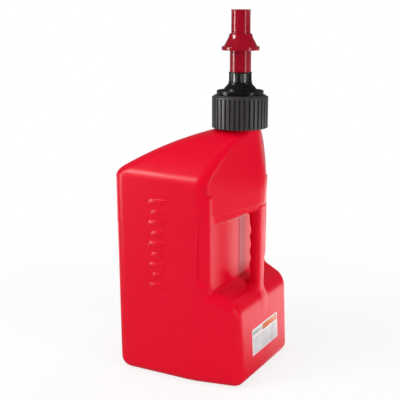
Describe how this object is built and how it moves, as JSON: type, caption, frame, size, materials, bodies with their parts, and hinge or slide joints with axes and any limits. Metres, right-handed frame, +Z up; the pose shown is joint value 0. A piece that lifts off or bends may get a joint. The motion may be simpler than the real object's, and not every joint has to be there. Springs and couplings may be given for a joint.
{
  "type": "jerry can",
  "caption": "Upright moulded fuel can with a finger-grooved through handle, a ribbed screw collar and a push-to-pour spout.",
  "frame": {"origin": "centre of the overall box, on the face the can stands on", "axes": "+Z up, +X towards the label, the grip and the spout, Y across the can"},
  "size_m": [0.256, 0.26, 0.666],
  "materials": {
    "tank_red": "satin blow-moulded polyethylene",
    "spout_red": "glossy injection-moulded",
    "black_plastic": "satin",
    "barrel_black": "glossy",
    "seal_rubber": "matte",
    "steel": "plated",
    "label_film": "printed film",
    "clear_hose": "soft, translucent"
  },
  "bodies": {
    "tank": {"tank_shell": "tank_red", "front_label": "label_film"},
    "spout": {"spout_body": "black_plastic", "base_flange": "black_plastic", "neck_gasket": "seal_rubber", "flange_screws": "steel", "foot_oring": "seal_rubber", "inner_barrel": "barrel_black", "slide_oring": "seal_rubber", "stem_spider": "black_plastic", "vent_stem": "black_plastic", "stem_nut": "steel", "valve_plug": "black_plastic", "plug_seal": "seal_rubber", "plug_oring": "seal_rubber", "breather_tube": "clear_hose", "tube_clip": "steel", "return_spring": "steel"},
    "collar": {"collar_nut": "black_plastic"},
    "sleeve": {"sliding_sleeve": "spout_red", "spring_seat": "steel"}
  },
  "joints": [
    {"name": "spout_lift", "type": "slide", "parent": "tank", "child": "spout", "axis": [0, 0, 1], "range_m": [0, 0.01205]},
    {"name": "collar_turn", "type": "hinge", "parent": "spout", "child": "collar", "pos_m": [0.068, 0, 0.486], "axis": [0, 0, 1], "range_deg": [0, 720]},
    {"name": "sleeve_push", "type": "slide", "parent": "spout", "child": "sleeve", "axis": [0, 0, -1], "range_m": [0, 0.018], "stiffness_N_per_m": 800, "springref_m": -0.019, "deforming": ["return_spring"]}
  ],
  "couplings": [
    {"joint": "spout_lift", "follows": "collar_turn", "m_per_rad": 0.00095493}
  ]
}
